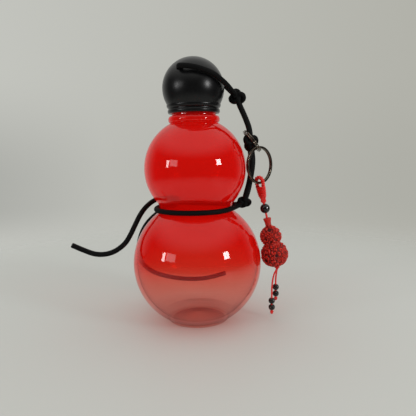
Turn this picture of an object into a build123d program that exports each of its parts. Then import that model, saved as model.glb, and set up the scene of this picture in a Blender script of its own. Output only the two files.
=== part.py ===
from build123d import *
import math
import os

# Gourd-shaped glass water bottle with a black ball cap on a cord, a key ring and a
# small carved gourd charm. Millimetres, +Z up, origin at the centre of the foot where
# the bottle stands. The front of the bottle faces -Y and the charm hangs at +X.

# Glass body
lower_bulb_radius = 45.0
upper_bulb_radius = 35.3
bulb_spacing = 66.2
waist_groove_radius = 5.5
glass_wall = 2.4
foot_radius = 21.9
foot_rounding = 1.0
foot_band_height = 1.488
foot_stand_width = 3.4
punt_rise = 4.0
base_thickness = 4.2
floor_edge_height = 5.6

# Neck, carrying ring and mouth
neck_radius = 15.1
carrying_ring_root_step = 1.2
carrying_ring_bulge = 1.4
carrying_ring_height = 4.6
neck_show = 2.2
finish_step = 1.5
finish_wall = 2.2
finish_height = 10.8
mouth_rounding = 0.6

# Screw thread between the mouth and the cap
thread_lead = 5.4
thread_turns = 1.0
thread_root_width = 1.9
thread_crest_width = 1.0
thread_depth = 1.3
thread_play = 0.3
thread_sink = 0.2
thread_below_mouth = 1.8

# Cap
rim_gap = 0.4
cap_bore_clearance = 0.3
cap_skirt_wall = 1.9
lower_band_bulge = 0.6
upper_band_bulge = 1.15
lower_band_height = 2.9
band_groove_height = 0.4
upper_band_height = 3.0
seal_thickness = 1.6
seal_clearance = 0.3
cap_plate_thickness = 1.8
spigot_wall = 1.96
ball_overhang = 2.74
ball_wall = 2.2
ball_seat_width = 1.0
socket_clearance = 0.1
tunnel_height_above_centre = 11.8
tunnel_heading = 240.0
tunnel_wall = 1.2

# Black cord
cord_diameter = 3.6
cord_clearance = 0.3
waist_cord_gap = 0.4
waist_cord_drop = 1.0
waist_front_corners = 5
waist_front_first_azimuth = -51.0
waist_front_half_step = 18.0
waist_back_corners = 2
waist_back_first_azimuth = 39.0
waist_back_half_step = 17.0

# Knots, their sizes as shares of the cord's diameter. The upper and the middle one hang
# from the cap's ball and the other two sit at the waist: heights are from those.
knot_core_share = 1.14
knot_lobe_share = 0.68
knot_grip_share = 1.28
knot_core_turns = (30.0, 0.0, 60.0)
knot_lobe_turn = 25.0
knot_upper_off_ball = (29.8, 0.0, -6.0)
knot_upper_lobe_shares = [
    (0.11, -0.17, 0.83),
    (1.06, 0.11, 0.14),
    (-0.94, -0.28, -0.69),
    (0.33, 0.72, -0.56),
]
knot_middle_off_ball = (38.4, -3.6, -37.1)
knot_middle_lobe_shares = [
    (0.97, 0.06, 0.56),
    (-0.78, -0.28, 1.0),
    (-1.22, -0.17, 0.64),
    (-0.97, -0.11, -0.67),
]
knot_waist_off_waist = (33.2, -2.6, 2.4)
knot_waist_lobe_shares = [(1.03, -0.17, -0.22), (-0.5, -0.56, 0.5), (0.06, 0.5, -0.61)]
knot_back_off_waist = (-18.0, 27.2, 1.0)
knot_back_lobe_shares = [(-0.17, -0.17, 0.78), (0.44, 0.89, -0.28), (-0.72, 0.28, -0.56)]

# Key rings, each a flat wire wound twice
ring_coils = 2
small_ring_radius = 9.0
small_ring_width = 1.4
small_ring_strip = 0.75
small_ring_tilt = 38.1
key_ring_radius = 13.0
key_ring_width = 1.6
key_ring_strip = 0.75
key_ring_turn = 41.6
coil_gap = 0.42
link_gap = 0.3
small_ring_off_knot = (0.8, -1.4, 0.9)
key_ring_low_share = 0.75

# Red charm
charm_lean = 11.3
charm_cord_diameter = 2.5
charm_arm_spread = 3.3
charm_eye_gap = 0.25
arm_shoulder_distance = 2.6
arm_knee_distance = 9.0
arm_knee_spread_share = 0.6
arm_foot_distance = 13.0
arm_foot_spread = 0.5
wrap_radius = 1.6
wrap_pitch = 2.7
wrap_rows = 4
stem_diameter = 1.5
stem_start_distance = 12.0
collar_distance = 12.4
collar_radius = 2.1
bead_bore_clearance = 0.3
bead_radius = 3.4
bead_distance = 18.3
gourd_distance = 25.2
gourd_lip_radius = 2.75
gourd_neck_radius = 2.35
gourd_neck_height = 3.0
gourd_upper_radius = 7.4
gourd_upper_distance = 13.2
gourd_lower_radius = 9.5
gourd_lower_distance = 26.2
gourd_waist_radius = 1.2
gourd_foot_radius = 4.96
stem_knot_radius = 1.5
stem_knot_gap = 0.15
string_diameter = 1.2
small_bead_radius = 2.3
small_bead_gap = 0.15
left_bead_drop = 24.0
right_bead_drop = 15.2
end_knot_radius = 1.2

# A little more than any cut needs
overrun = 1.0

# Arcs at the corners of a cord's route use this share of the shorter run beside them
bend_share = 0.45
diagonal_share = math.sqrt(0.5)

cord_radius = cord_diameter / 2


def groove_tangents(low_radius, low_height, high_radius, high_height, groove):
    """Centre of the groove circle that touches two stacked bulb circles from outside."""
    low_reach = low_radius + groove
    high_reach = high_radius + groove
    apart = high_height - low_height
    rise = (apart**2 + low_reach**2 - high_reach**2) / (2 * apart)
    return math.sqrt(low_reach**2 - rise**2), low_height + rise


def circle_point(centre_height, radius, toward, distance):
    """Point on a bulb circle in the direction of a given (r, z) point, at a distance."""
    run = toward[0]
    rise = toward[1] - centre_height
    reach = math.hypot(run, rise)
    return run / reach * distance, centre_height + rise / reach * distance


def height_on_circle(centre_height, radius, at):
    """Height above its centre where a bulb circle has the half-width called at."""
    return centre_height + math.sqrt(radius**2 - at**2)


def bend_radii(points):
    """Radii of the tangent arcs at the corners, each taking a share of the shorter run."""
    corners = [Vector(*point) for point in points]
    radii = []
    for before, corner, after in zip(corners, corners[1:], corners[2:]):
        first = corner - before
        second = after - corner
        turn = math.radians(first.get_angle(second))
        radii.append(bend_share * min(first.length, second.length) / math.tan(turn / 2))
    return radii


def cord_tube(label, points, radius):
    """Round cord along straight runs joined by tangent arcs."""
    radii = bend_radii(points)
    with BuildPart() as tube:
        with BuildLine() as route:
            FilletPolyline(*points, radius=radii)
        with BuildSketch(Plane(origin=route.line @ 0, z_dir=route.line % 0)):
            Circle(radius)
        sweep()
    length = route.wire().length
    share = tube.part.volume / (math.pi * radius**2 * length)
    print(label, "length", round(length, 1), "least radius", round(min(radii), 1))
    print(label, "volume over section times length", round(share, 4))
    tube.part.label = label
    return tube.part


def save(part, label):
    """Write one finished piece under its own name."""
    part.label = label
    export_step(part, f"parts/{label}.step")


def shifted(points, offset):
    """The same route moved sideways by a small offset."""
    return [tuple(a + b for a, b in zip(point, offset)) for point in points]


def raised(points, height):
    """The same route with its heights counted from a given height."""
    return [(x, y, z + height) for x, y, z in points]


os.makedirs("parts", exist_ok=True)

# Glass body: one wall turned about the bottle's axis
lower_bulb_height = foot_band_height + math.sqrt(lower_bulb_radius**2 - foot_radius**2)
upper_bulb_height = lower_bulb_height + bulb_spacing
punt_radius = foot_radius - foot_rounding - foot_stand_width
finish_radius = neck_radius - finish_step
bore_radius = finish_radius - finish_wall
carrying_ring_root_radius = neck_radius + carrying_ring_root_step
carrying_ring_radius = carrying_ring_root_radius + carrying_ring_bulge
waist_centre = groove_tangents(
    lower_bulb_radius, lower_bulb_height, upper_bulb_radius, upper_bulb_height,
    waist_groove_radius,
)
waist_height = waist_centre[1]
waist_radius = waist_centre[0] - waist_groove_radius
ring_bottom = height_on_circle(upper_bulb_height, upper_bulb_radius, carrying_ring_root_radius)
ring_top = ring_bottom + carrying_ring_height
neck_top = ring_top + neck_show
finish_foot = neck_top + neck_radius - finish_radius
mouth_height = finish_foot + finish_height - (neck_radius - finish_radius)
punt_sphere = (punt_radius**2 + punt_rise**2) / (2 * punt_rise)
punt_middle = (
    punt_radius / 2,
    punt_rise - punt_sphere + math.sqrt(punt_sphere**2 - (punt_radius / 2) ** 2),
)
inner_lower_radius = lower_bulb_radius - glass_wall
inner_upper_radius = upper_bulb_radius - glass_wall
inner_groove_radius = waist_groove_radius + glass_wall
floor_edge_radius = math.sqrt(
    inner_lower_radius**2 - (lower_bulb_height - floor_edge_height) ** 2
)
floor_centre_height = punt_rise + base_thickness
floor_rise = floor_centre_height - floor_edge_height
floor_sphere = (floor_edge_radius**2 + floor_rise**2) / (2 * floor_rise)
floor_middle = (
    floor_edge_radius / 2,
    floor_centre_height - floor_sphere + math.sqrt(floor_sphere**2 - (floor_edge_radius / 2) ** 2),
)
lower_touch = circle_point(lower_bulb_height, lower_bulb_radius, waist_centre, lower_bulb_radius)
upper_touch = circle_point(upper_bulb_height, upper_bulb_radius, waist_centre, upper_bulb_radius)
inner_lower_touch = circle_point(
    lower_bulb_height, lower_bulb_radius, waist_centre, inner_lower_radius
)
inner_upper_touch = circle_point(
    upper_bulb_height, upper_bulb_radius, waist_centre, inner_upper_radius
)
inner_shoulder_height = height_on_circle(upper_bulb_height, inner_upper_radius, bore_radius)
foot_corner_share = 1 - diagonal_share

with BuildPart() as bottle_glass:
    with BuildSketch(Plane.XZ):
        with BuildLine():
            ThreePointArc((0, punt_rise), punt_middle, (punt_radius, 0))
            Line((punt_radius, 0), (foot_radius - foot_rounding, 0))
            ThreePointArc(
                (foot_radius - foot_rounding, 0),
                (
                    foot_radius - foot_rounding * foot_corner_share,
                    foot_rounding * foot_corner_share,
                ),
                (foot_radius, foot_rounding),
            )
            Line((foot_radius, foot_rounding), (foot_radius, foot_band_height))
            ThreePointArc(
                (foot_radius, foot_band_height),
                (lower_bulb_radius, lower_bulb_height),
                lower_touch,
            )
            ThreePointArc(
                lower_touch, (waist_radius, waist_height), upper_touch
            )
            ThreePointArc(
                upper_touch,
                (upper_bulb_radius, upper_bulb_height),
                (carrying_ring_root_radius, ring_bottom),
            )
            ThreePointArc(
                (carrying_ring_root_radius, ring_bottom),
                (carrying_ring_radius, (ring_bottom + ring_top) / 2),
                (carrying_ring_root_radius, ring_top),
            )
            Line((carrying_ring_root_radius, ring_top), (neck_radius, ring_top))
            Line((neck_radius, ring_top), (neck_radius, neck_top))
            Line((neck_radius, neck_top), (finish_radius, finish_foot))
            Line((finish_radius, finish_foot), (finish_radius, mouth_height - mouth_rounding))
            Line(
                (finish_radius, mouth_height - mouth_rounding),
                (finish_radius - mouth_rounding, mouth_height),
            )
            Line(
                (finish_radius - mouth_rounding, mouth_height),
                (bore_radius + mouth_rounding, mouth_height),
            )
            Line(
                (bore_radius + mouth_rounding, mouth_height),
                (bore_radius, mouth_height - mouth_rounding),
            )
            Line((bore_radius, mouth_height - mouth_rounding), (bore_radius, inner_shoulder_height))
            ThreePointArc(
                (bore_radius, inner_shoulder_height),
                (inner_upper_radius, upper_bulb_height),
                inner_upper_touch,
            )
            ThreePointArc(
                inner_upper_touch,
                (waist_centre[0] - inner_groove_radius, waist_height),
                inner_lower_touch,
            )
            ThreePointArc(
                inner_lower_touch,
                (inner_lower_radius, lower_bulb_height),
                (floor_edge_radius, floor_edge_height),
            )
            ThreePointArc(
                (floor_edge_radius, floor_edge_height), floor_middle, (0, floor_centre_height)
            )
            Line((0, floor_centre_height), (0, punt_rise))
        make_face()
    revolve(axis=Axis.Z)
    # One turn of raised thread round the mouth
    glass_thread_height = mouth_height - thread_below_mouth - thread_lead * thread_turns
    with BuildLine() as glass_helix:
        Helix(
            pitch=thread_lead,
            height=thread_lead * thread_turns,
            radius=finish_radius,
            center=(0, 0, glass_thread_height),
        )
    with BuildSketch(
        Plane(origin=glass_helix.line @ 0, x_dir=(1, 0, 0), z_dir=glass_helix.line % 0)
    ):
        with BuildLine():
            Polyline(
                (-thread_sink, -thread_root_width / 2),
                (thread_depth, -thread_crest_width / 2),
                (thread_depth, thread_crest_width / 2),
                (-thread_sink, thread_root_width / 2),
                close=True,
            )
        make_face()
    sweep(path=glass_helix.line, is_frenet=True)
save(bottle_glass.part, "bottle_glass")

# Cap: a threaded ring with two bands, a soft seal and a hollow ball with a cord tunnel
cap_rim = ring_top + neck_show - rim_gap
cap_bore_radius = neck_radius + cap_bore_clearance
cap_rim_radius = cap_bore_radius + cap_skirt_wall
lower_band_radius = cap_rim_radius + lower_band_bulge
upper_band_radius = cap_rim_radius + upper_band_bulge
lower_band_top = cap_rim + lower_band_height
upper_band_bottom = lower_band_top + band_groove_height
band_top = upper_band_bottom + upper_band_height
seal_top = mouth_height + seal_thickness
plate_top = seal_top + cap_plate_thickness
spigot_radius = cap_bore_radius + spigot_wall
ball_foot_radius = spigot_radius + ball_seat_width
ball_radius = ball_foot_radius + ball_overhang
ball_centre_height = band_top + math.sqrt(ball_radius**2 - ball_foot_radius**2)
socket_radius = spigot_radius + socket_clearance
ball_inner_radius = ball_radius - ball_wall
ball_inner_foot = height_on_circle(ball_centre_height, ball_inner_radius, socket_radius)

with BuildPart() as cap_collar:
    with BuildSketch(Plane.XZ):
        with BuildLine():
            Line((cap_bore_radius, cap_rim), (cap_rim_radius, cap_rim))
            ThreePointArc(
                (cap_rim_radius, cap_rim),
                (lower_band_radius, cap_rim + lower_band_height / 2),
                (cap_rim_radius, lower_band_top),
            )
            Line((cap_rim_radius, lower_band_top), (cap_rim_radius, upper_band_bottom))
            ThreePointArc(
                (cap_rim_radius, upper_band_bottom),
                (upper_band_radius, upper_band_bottom + upper_band_height / 2),
                (ball_foot_radius, band_top),
            )
            Line((ball_foot_radius, band_top), (spigot_radius, band_top))
            Line((spigot_radius, band_top), (spigot_radius, plate_top))
            Line((spigot_radius, plate_top), (0, plate_top))
            Line((0, plate_top), (0, seal_top))
            Line((0, seal_top), (cap_bore_radius, seal_top))
            Line((cap_bore_radius, seal_top), (cap_bore_radius, cap_rim))
        make_face()
    revolve(axis=Axis.Z)
    # The cap's own thread lies just under the glass one and follows the same lead
    with BuildLine() as cap_helix:
        Helix(
            pitch=thread_lead,
            height=thread_lead * thread_turns,
            radius=cap_bore_radius,
            center=(0, 0, glass_thread_height - thread_root_width - thread_play),
        )
    with BuildSketch(
        Plane(origin=cap_helix.line @ 0, x_dir=(1, 0, 0), z_dir=cap_helix.line % 0)
    ):
        with BuildLine():
            Polyline(
                (thread_sink, -thread_root_width / 2),
                (-thread_depth, -thread_crest_width / 2),
                (-thread_depth, thread_crest_width / 2),
                (thread_sink, thread_root_width / 2),
                close=True,
            )
        make_face()
    sweep(path=cap_helix.line, is_frenet=True)
save(cap_collar.part, "cap_collar")

with BuildPart() as cap_seal:
    with BuildSketch(Plane.XY.offset(mouth_height)):
        Circle(cap_bore_radius - seal_clearance)
    extrude(amount=seal_thickness)
save(cap_seal.part, "cap_seal")

# Loop of cord through the ball, from the upper knot and back to it
cap_cord_off_ball = [
    (26.6, -3.2, -3.0),
    (22.2, -9.6, 1.1),
    (17.4, -16.1, 3.9),
    (13.0, -18.9, 6.9),
    (6.9, -21.2, 9.0),
    (0.4, -21.6, 10.9),
    (-7.7, -21.5, 11.7),
    (-9.7, -16.8, 11.8),
    (9.7, 16.8, 11.8),
    (13.4, 18.6, 10.4),
    (18.4, 14.4, 6.6),
    (22.4, 8.4, 2.8),
    (26.8, 2.6, -2.8),
]
cap_cord_route = raised(cap_cord_off_ball, ball_centre_height)
save(cord_tube("cap_cord", cap_cord_route, cord_radius), "cap_cord")
tunnel_cut = cord_tube("cord tunnel", cap_cord_route, cord_radius + cord_clearance)
tunnel_height = ball_centre_height + tunnel_height_above_centre
tunnel_direction = (
    math.cos(math.radians(tunnel_heading)),
    math.sin(math.radians(tunnel_heading)),
    0,
)

with BuildPart() as tunnel_boss:
    with BuildSketch(Plane(origin=(0, 0, tunnel_height), z_dir=tunnel_direction)):
        Circle(cord_radius + cord_clearance + tunnel_wall)
    extrude(amount=ball_radius, both=True)
    with Locations((0, 0, ball_centre_height)):
        Sphere(ball_radius - ball_wall / 2, mode=Mode.INTERSECT)

with BuildPart() as cap_ball:
    with BuildSketch(Plane.XZ):
        with BuildLine():
            Line((socket_radius, band_top), (ball_foot_radius, band_top))
            ThreePointArc(
                (ball_foot_radius, band_top),
                (ball_radius, ball_centre_height),
                (0, ball_centre_height + ball_radius),
            )
            Line(
                (0, ball_centre_height + ball_radius),
                (0, ball_centre_height + ball_inner_radius),
            )
            ThreePointArc(
                (0, ball_centre_height + ball_inner_radius),
                (
                    ball_inner_radius * diagonal_share,
                    ball_centre_height + ball_inner_radius * diagonal_share,
                ),
                (socket_radius, ball_inner_foot),
            )
            Line((socket_radius, ball_inner_foot), (socket_radius, band_top))
        make_face()
    revolve(axis=Axis.Z)
    add(tunnel_boss.part)
    add(tunnel_cut, mode=Mode.SUBTRACT)
save(cap_ball.part, "cap_ball")

# Black cord: the strands between the knots, round the waist, and the two loose ends
upper_strand_offset = (-0.5, -1.88, 0.0)
tether_upper_off_ball = [
    (30.9, -0.6, -10.4),
    (33.3, -1.4, -15.8),
    (35.6, -2.3, -21.5),
    (37.3, -3.0, -26.4),
    (38.0, -3.3, -30.4),
]
tether_upper_route = raised(tether_upper_off_ball, ball_centre_height)
lower_strand_offset = (-0.95, -1.7, 0.0)
tether_lower_off_ball = [
    (38.7, -3.2, -42.8),
    (39.7, -3.3, -49.1),
]
tether_lower_off_waist = [
    (39.3, -3.3, 25.4),
    (38.4, -3.2, 19.2),
    (37.1, -3.0, 13.2),
    (35.4, -2.9, 8.0),
]
tether_lower_route = raised(tether_lower_off_ball, ball_centre_height)
tether_lower_route += raised(tether_lower_off_waist, waist_height)
tail_left_off_waist = [
    (-22.3, 23.2, 4.4),
    (-29.6, 14.4, 4.2),
    (-34.2, 4.2, 1.6),
    (-38.4, -2.4, -3.2),
    (-41.9, -6.0, -10.0),
    (-45.6, -9.0, -17.8),
    (-49.5, -11.0, -23.9),
    (-57.9, -12.9, -29.2),
    (-67.9, -14.0, -29.9),
    (-77.4, -14.9, -25.7),
    (-84.0, -15.5, -22.2),
]
tail_back_off_waist = [
    (-22.9, 24.2, -3.2),
    (-30.6, 19.2, -7.6),
    (-37.9, 18.1, -14.6),
    (-43.0, 21.2, -24.6),
    (-45.4, 26.6, -35.0),
    (-44.6, 33.0, -47.2),
    (-38.0, 38.2, -56.0),
    (-27.4, 41.2, -61.2),
    (-14.6, 42.4, -64.2),
    (-1.2, 42.6, -65.2),
    (11.8, 41.6, -63.6),
    (22.4, 39.2, -59.7),
]


waist_cord_radius = waist_radius + cord_radius + waist_cord_gap


def waist_corner(azimuth, half_step):
    """Corner of a polygon drawn round the waist so that its sides touch the cord's circle."""
    reach = waist_cord_radius / math.cos(math.radians(half_step))
    angle = math.radians(azimuth)
    return (
        reach * math.cos(angle),
        reach * math.sin(angle),
        waist_height - waist_cord_drop,
    )


waist_front_route = raised([(27.9, -8.0, 0.3)], waist_height)
for corner_number in range(waist_front_corners):
    azimuth = waist_front_first_azimuth - 2 * waist_front_half_step * corner_number
    waist_front_route.append(waist_corner(azimuth, waist_front_half_step))
waist_front_route += raised([(-20.6, 19.3, -0.3)], waist_height)
waist_back_route = raised([(28.8, 3.0, 0.3)], waist_height)
for corner_number in range(waist_back_corners):
    azimuth = waist_back_first_azimuth + 2 * waist_back_half_step * corner_number
    waist_back_route.append(waist_corner(azimuth, waist_back_half_step))
waist_back_route += raised([(-10.6, 28.2, -0.3)], waist_height)

cord_routes = {
    "tether_upper_front": shifted(tether_upper_route, upper_strand_offset),
    "tether_upper_back": shifted(tether_upper_route, [-share for share in upper_strand_offset]),
    "tether_lower_front": shifted(tether_lower_route, lower_strand_offset),
    "tether_lower_back": shifted(tether_lower_route, [-share for share in lower_strand_offset]),
    "waist_cord_front": waist_front_route,
    "waist_cord_back": waist_back_route,
    "tail_left": raised(tail_left_off_waist, waist_height),
    "tail_back": raised(tail_back_off_waist, waist_height),
}
for cord_name, route_points in cord_routes.items():
    save(cord_tube(cord_name, route_points, cord_radius), cord_name)


def tied_knot(label, place, lobe_shares, strands):
    """Pulled-tight knot: a round core, the lobes of its turns, and the strands it grips.

    Each strand is a pair of route points, the cord's end and the one before it, and the
    knot holds a straight stub that meets the cord's flat end. The core and the lobes are
    turned so that no two seams meet."""
    with BuildPart() as knot:
        with Locations(Location(place, knot_core_turns)):
            Sphere(cord_diameter * knot_core_share)
        for number, lobe in enumerate(lobe_shares):
            lobe_place = Vector(*place) + Vector(*lobe) * cord_diameter
            with Locations(Location(lobe_place, (knot_lobe_turn, knot_lobe_turn * number, 0))):
                Sphere(cord_diameter * knot_lobe_share)
        for end, before in strands:
            inward = Vector(*end) - Vector(*before)
            with BuildSketch(Plane(origin=end, z_dir=inward)):
                Circle(cord_radius)
            extrude(amount=cord_diameter * knot_grip_share)
    save(knot.part, label)


def first_of(name):
    """End of a cord where its route starts."""
    return cord_routes[name][0], cord_routes[name][1]


def last_of(name):
    """End of a cord where its route stops."""
    return cord_routes[name][-1], cord_routes[name][-2]


tied_knot(
    "knot_upper",
    raised([knot_upper_off_ball], ball_centre_height)[0],
    knot_upper_lobe_shares,
    [
        (cap_cord_route[0], cap_cord_route[1]),
        (cap_cord_route[-1], cap_cord_route[-2]),
        first_of("tether_upper_front"),
        first_of("tether_upper_back"),
    ],
)
knot_middle_place = raised([knot_middle_off_ball], ball_centre_height)[0]
tied_knot(
    "knot_middle",
    knot_middle_place,
    knot_middle_lobe_shares,
    [
        last_of("tether_upper_front"),
        last_of("tether_upper_back"),
        first_of("tether_lower_front"),
        first_of("tether_lower_back"),
    ],
)
tied_knot(
    "knot_waist",
    raised([knot_waist_off_waist], waist_height)[0],
    knot_waist_lobe_shares,
    [
        last_of("tether_lower_front"),
        last_of("tether_lower_back"),
        first_of("waist_cord_front"),
        first_of("waist_cord_back"),
    ],
)
tied_knot(
    "knot_back",
    raised([knot_back_off_waist], waist_height)[0],
    knot_back_lobe_shares,
    [
        last_of("waist_cord_front"),
        last_of("waist_cord_back"),
        first_of("tail_left"),
        first_of("tail_back"),
    ],
)


# Key rings
def wound_ring(label, centre, radius, width, strip, z_dir, start_dir):
    """Split ring: a flat strip wound twice, its turns a small gap apart."""
    pitch = strip + coil_gap
    middle = radius - width / 2
    rise = pitch * ring_coils
    with BuildPart() as ring:
        with BuildLine() as coil:
            Helix(pitch=pitch, height=rise, radius=middle, center=(0, 0, -rise / 2))
        with BuildSketch(Plane(origin=coil.line @ 0, x_dir=(1, 0, 0), z_dir=coil.line % 0)):
            Rectangle(width, strip)
        sweep(path=coil.line, is_frenet=True)
    print(label, "least gap between turns", round(pitch - strip, 2))
    home = Plane(origin=centre, x_dir=start_dir, z_dir=z_dir)
    save(ring.part.moved(home.location), label)


small_tilt = math.radians(small_ring_tilt)
small_ring_down = Vector(math.sin(small_tilt), 0, -math.cos(small_tilt))
small_ring_axis = Vector(math.cos(small_tilt), 0, math.sin(small_tilt))
small_ring_middle = small_ring_radius - small_ring_width / 2
small_ring_centre = Vector(*knot_middle_place) + Vector(*small_ring_off_knot)
wound_ring(
    "ring_small", small_ring_centre, small_ring_radius, small_ring_width, small_ring_strip,
    small_ring_axis, (0, -1, 0),
)

# The key ring hooks the lowest point of the small ring's wire
link_point = small_ring_centre + small_ring_down * small_ring_middle
small_stack = small_ring_strip + coil_gap / 2
small_wire_reach = math.hypot(small_stack, small_ring_width / 2)
key_ring_middle = key_ring_radius - key_ring_width / 2
key_ring_drop = key_ring_middle - key_ring_width / 2 - small_wire_reach - link_gap
key_ring_centre = link_point - Vector(0, 0, key_ring_drop)
key_turn = math.radians(key_ring_turn)
key_ring_tangent = Vector(math.cos(key_turn), math.sin(key_turn), 0)
key_ring_axis = Vector(-math.sin(key_turn), math.cos(key_turn), 0)
wound_ring(
    "ring_key", key_ring_centre, key_ring_radius, key_ring_width, key_ring_strip,
    key_ring_axis, key_ring_tangent,
)

# Charm: everything hangs on one straight line from the key ring's lowest point
charm_pivot = key_ring_centre - Vector(0, 0, key_ring_middle)
lean = math.radians(charm_lean)
charm_down = Vector(math.sin(lean), 0, -math.cos(lean))
arm_side = key_ring_axis - charm_down * key_ring_axis.dot(charm_down)
arm_side = arm_side.normalized()
key_stack = key_ring_low_share * (key_ring_strip + coil_gap) + key_ring_strip / 2
key_wire_reach = math.hypot(key_stack, key_ring_width / 2)
charm_cord_radius = charm_cord_diameter / 2
eye_top = -(key_wire_reach + charm_eye_gap + charm_cord_radius)


def on_charm(side, down):
    """Point beside the charm's line: sideways along the loop's plane, and down the line."""
    point = charm_pivot + arm_side * side + charm_down * down
    return point.X, point.Y, point.Z


arm_knee_spread = charm_arm_spread * arm_knee_spread_share
charm_loop_places = [
    (arm_foot_spread, arm_foot_distance),
    (arm_knee_spread, arm_knee_distance),
    (charm_arm_spread, arm_shoulder_distance),
    (charm_arm_spread, eye_top),
    (-charm_arm_spread, eye_top),
    (-charm_arm_spread, arm_shoulder_distance),
    (-arm_knee_spread, arm_knee_distance),
    (-arm_foot_spread, arm_foot_distance),
]
charm_loop_route = [on_charm(side, down) for side, down in charm_loop_places]
charm_loop_tube = cord_tube("charm loop", charm_loop_route, charm_cord_radius)
stem_radius = stem_diameter / 2
stem_bore_radius = stem_radius + bead_bore_clearance
gourd_height = gourd_lower_distance + math.sqrt(gourd_lower_radius**2 - gourd_foot_radius**2)
gourd_foot_distance = gourd_distance + gourd_height
stem_knot_distance = gourd_foot_distance + stem_knot_gap + stem_knot_radius

with BuildPart() as charm_cord:
    add(charm_loop_tube)
    for row in range(wrap_rows):
        row_distance = row * wrap_pitch
        below_shoulder = max(row_distance - arm_shoulder_distance, 0)
        taper_share = below_shoulder / (arm_knee_distance - arm_shoulder_distance)
        row_spread = charm_arm_spread - taper_share * (charm_arm_spread - arm_knee_spread)
        with Locations(on_charm(row_spread, row_distance), on_charm(-row_spread, row_distance)):
            Sphere(wrap_radius)
    with Locations(on_charm(0, collar_distance)):
        Sphere(collar_radius)
    with BuildSketch(Plane(origin=on_charm(0, stem_start_distance), z_dir=charm_down)):
        Circle(stem_radius)
    extrude(amount=stem_knot_distance - stem_start_distance)
    with Locations(on_charm(0, stem_knot_distance)):
        Sphere(stem_knot_radius)
save(charm_cord.part, "charm_cord")


def pierced_bead(label, centre, radius, direction, bore):
    """Round bead drilled through along its cord."""
    with BuildPart() as bead:
        with Locations(centre):
            Sphere(radius)
        with BuildSketch(Plane(origin=centre, z_dir=direction)):
            Circle(bore)
        extrude(amount=radius + overrun, both=True, mode=Mode.SUBTRACT)
    save(bead.part, label)


pierced_bead(
    "charm_bead", on_charm(0, bead_distance), bead_radius, charm_down, stem_bore_radius
)

# Carved gourd: two stacked balls with a flared lip, drilled for the cord
gourd_waist = groove_tangents(
    gourd_lower_radius, -gourd_lower_distance, gourd_upper_radius, -gourd_upper_distance,
    gourd_waist_radius,
)
gourd_lower_touch = circle_point(
    -gourd_lower_distance, gourd_lower_radius, gourd_waist, gourd_lower_radius
)
gourd_upper_touch = circle_point(
    -gourd_upper_distance, gourd_upper_radius, gourd_waist, gourd_upper_radius
)
gourd_neck_foot = height_on_circle(-gourd_upper_distance, gourd_upper_radius, gourd_neck_radius)
gourd_plane = Plane(
    origin=on_charm(0, gourd_distance),
    x_dir=(math.cos(lean), 0, math.sin(lean)),
    z_dir=(0, -1, 0),
)
with BuildPart() as charm_gourd:
    with BuildSketch(gourd_plane):
        with BuildLine():
            Line((stem_bore_radius, 0), (gourd_lip_radius, 0))
            Line((gourd_lip_radius, 0), (gourd_neck_radius, -gourd_neck_height))
            Line((gourd_neck_radius, -gourd_neck_height), (gourd_neck_radius, gourd_neck_foot))
            ThreePointArc(
                (gourd_neck_radius, gourd_neck_foot),
                (gourd_upper_radius, -gourd_upper_distance),
                gourd_upper_touch,
            )
            ThreePointArc(
                gourd_upper_touch,
                (gourd_waist[0] - gourd_waist_radius, gourd_waist[1]),
                gourd_lower_touch,
            )
            ThreePointArc(
                gourd_lower_touch,
                (gourd_lower_radius, -gourd_lower_distance),
                (gourd_foot_radius, -gourd_height),
            )
            Line((gourd_foot_radius, -gourd_height), (stem_bore_radius, -gourd_height))
            Line((stem_bore_radius, -gourd_height), (stem_bore_radius, 0))
        make_face()
    revolve(axis=Axis(on_charm(0, gourd_distance), tuple(charm_down)))
save(charm_gourd.part, "charm_gourd")

# Two short strings under the gourd, each with two beads above a small knot
string_radius = string_diameter / 2
strings_off_stem_knot = {
    "left": [
        (-0.7, -1.2, -1.8),
        (-2.5, -1.7, -4.6),
        (-3.7, -1.8, -10.0),
        (-4.2, -1.8, -17.0),
    ],
    "right": [
        (0.1, 1.0, -2.0),
        (-0.2, 1.6, -5.0),
        (-0.6, 1.8, -8.2),
        (-0.7, 1.8, -12.0),
    ],
}
stem_knot_place = on_charm(0, stem_knot_distance)
bead_drops = {"left": left_bead_drop, "right": right_bead_drop}
for side, off_stem_knot in strings_off_stem_knot.items():
    points = shifted(off_stem_knot, stem_knot_place)
    hang_x, hang_y, hang_z = points[-1]
    top_bead = stem_knot_place[2] - bead_drops[side]
    low_bead = top_bead - 2 * small_bead_radius - small_bead_gap
    knot_height = low_bead - small_bead_radius - small_bead_gap - end_knot_radius
    string_points = points + [(hang_x, hang_y, knot_height)]
    bead_bore = string_radius + bead_bore_clearance
    tube = cord_tube(f"string {side}", string_points, string_radius)
    with BuildPart() as string:
        add(tube)
        with Locations((hang_x, hang_y, knot_height)):
            Sphere(end_knot_radius)
    save(string.part, f"string_{side}")
    for place, height in (("top", top_bead), ("low", low_bead)):
        pierced_bead(
            f"bead_{side}_{place}", (hang_x, hang_y, height), small_bead_radius, (0, 0, 1), bead_bore
        )

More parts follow.
